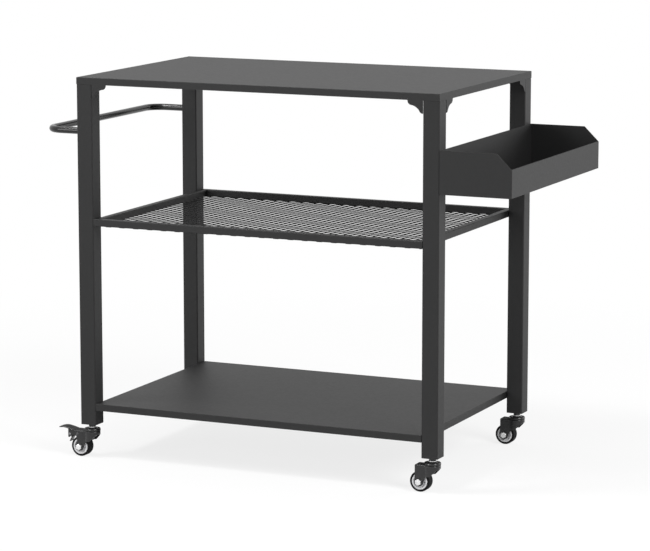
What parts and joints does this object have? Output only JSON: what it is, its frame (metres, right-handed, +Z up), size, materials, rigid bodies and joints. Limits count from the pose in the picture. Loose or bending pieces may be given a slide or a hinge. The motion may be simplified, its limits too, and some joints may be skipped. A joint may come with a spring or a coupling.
{
  "type": "grill cart",
  "caption": "Wheeled metal grill cart with a skirted sheet top, a mesh shelf, a solid bottom shelf, an open side tray, a push handle, swivel casters and foot brakes.",
  "frame": {"origin": "on the floor, under the centre of the overall box, tray and handle included", "axes": "+X to the right, from the handle to the tray; +Y from the front to the rear; +Z up"},
  "size_m": [1.1826, 0.579, 0.9035],
  "materials": {
    "powder_coat": "satin powder coat",
    "caster_black": "satin black paint",
    "zinc": "zinc plated",
    "hub_plastic": "moulded",
    "tyre_rubber": "matt"
  },
  "bodies": {
    "cart": {"leg_front_left": "powder_coat", "leg_front_right": "powder_coat", "leg_rear_left": "powder_coat", "leg_rear_right": "powder_coat", "caster_sockets": "zinc", "corner_posts": "powder_coat", "top_panel": "powder_coat", "top_stiffeners": "powder_coat", "middle_shelf_rail_front": "powder_coat", "middle_shelf_rail_rear": "powder_coat", "middle_shelf_rail_left": "powder_coat", "middle_shelf_rail_right": "powder_coat", "middle_shelf_mesh": "powder_coat", "bottom_shelf": "powder_coat", "bottom_shelf_stiffeners": "powder_coat", "side_tray": "powder_coat", "push_handle": "powder_coat", "caster_stem_front_left": "zinc", "bearing_cap_front_left": "caster_black", "caster_stem_front_right": "zinc", "bearing_cap_front_right": "caster_black", "caster_stem_rear_left": "zinc", "bearing_cap_rear_left": "caster_black", "caster_stem_rear_right": "zinc", "bearing_cap_rear_right": "caster_black"},
    "caster_front_left": {"fork_front_left": "caster_black", "swivel_bearing_front_left": "zinc", "axle_bolt_front_left": "zinc", "axle_nut_front_left": "zinc", "axle_sleeve_front_left": "zinc", "brake_pin_front_left": "zinc"},
    "wheel_front_left": {"wheel_hub_front_left": "hub_plastic", "wheel_tyre_front_left": "tyre_rubber"},
    "brake_front_left": {"brake_pedal_front_left": "caster_black", "brake_shoe_front_left": "caster_black"},
    "caster_front_right": {"fork_front_right": "caster_black", "swivel_bearing_front_right": "zinc", "axle_bolt_front_right": "zinc", "axle_nut_front_right": "zinc", "axle_sleeve_front_right": "zinc"},
    "wheel_front_right": {"wheel_hub_front_right": "hub_plastic", "wheel_tyre_front_right": "tyre_rubber"},
    "caster_rear_left": {"fork_rear_left": "caster_black", "swivel_bearing_rear_left": "zinc", "axle_bolt_rear_left": "zinc", "axle_nut_rear_left": "zinc", "axle_sleeve_rear_left": "zinc", "brake_pin_rear_left": "zinc"},
    "wheel_rear_left": {"wheel_hub_rear_left": "hub_plastic", "wheel_tyre_rear_left": "tyre_rubber"},
    "brake_rear_left": {"brake_pedal_rear_left": "caster_black", "brake_shoe_rear_left": "caster_black"},
    "caster_rear_right": {"fork_rear_right": "caster_black", "swivel_bearing_rear_right": "zinc", "axle_bolt_rear_right": "zinc", "axle_nut_rear_right": "zinc", "axle_sleeve_rear_right": "zinc"},
    "wheel_rear_right": {"wheel_hub_rear_right": "hub_plastic", "wheel_tyre_rear_right": "tyre_rubber"}
  },
  "joints": [
    {"name": "caster_front_left_swivel", "type": "hinge", "parent": "cart", "child": "caster_front_left", "pos_m": [-0.47075, -0.2675, 0.063], "axis": [0, 0, 1], "continuous": true},
    {"name": "wheel_front_left_roll", "type": "hinge", "parent": "caster_front_left", "child": "wheel_front_left", "pos_m": [-0.49775, -0.2675, 0.024], "axis": [0, 1, 0], "continuous": true},
    {"name": "brake_front_left_press", "type": "hinge", "parent": "caster_front_left", "child": "brake_front_left", "pos_m": [-0.50375, -0.2675, 0.054], "axis": [0, -1, 0], "range_deg": [0, 12.5]},
    {"name": "caster_front_right_swivel", "type": "hinge", "parent": "cart", "child": "caster_front_right", "pos_m": [0.40025, -0.2675, 0.063], "axis": [0, 0, 1], "continuous": true},
    {"name": "wheel_front_right_roll", "type": "hinge", "parent": "caster_front_right", "child": "wheel_front_right", "pos_m": [0.37325, -0.2675, 0.024], "axis": [0, 1, 0], "continuous": true},
    {"name": "caster_rear_left_swivel", "type": "hinge", "parent": "cart", "child": "caster_rear_left", "pos_m": [-0.47075, 0.2675, 0.063], "axis": [0, 0, 1], "continuous": true},
    {"name": "wheel_rear_left_roll", "type": "hinge", "parent": "caster_rear_left", "child": "wheel_rear_left", "pos_m": [-0.49775, 0.2675, 0.024], "axis": [0, 1, 0], "continuous": true},
    {"name": "brake_rear_left_press", "type": "hinge", "parent": "caster_rear_left", "child": "brake_rear_left", "pos_m": [-0.50375, 0.2675, 0.054], "axis": [0, -1, 0], "range_deg": [0, 12.5]},
    {"name": "caster_rear_right_swivel", "type": "hinge", "parent": "cart", "child": "caster_rear_right", "pos_m": [0.40025, 0.2675, 0.063], "axis": [0, 0, 1], "continuous": true},
    {"name": "wheel_rear_right_roll", "type": "hinge", "parent": "caster_rear_right", "child": "wheel_rear_right", "pos_m": [0.37325, 0.2675, 0.024], "axis": [0, 1, 0], "continuous": true}
  ]
}
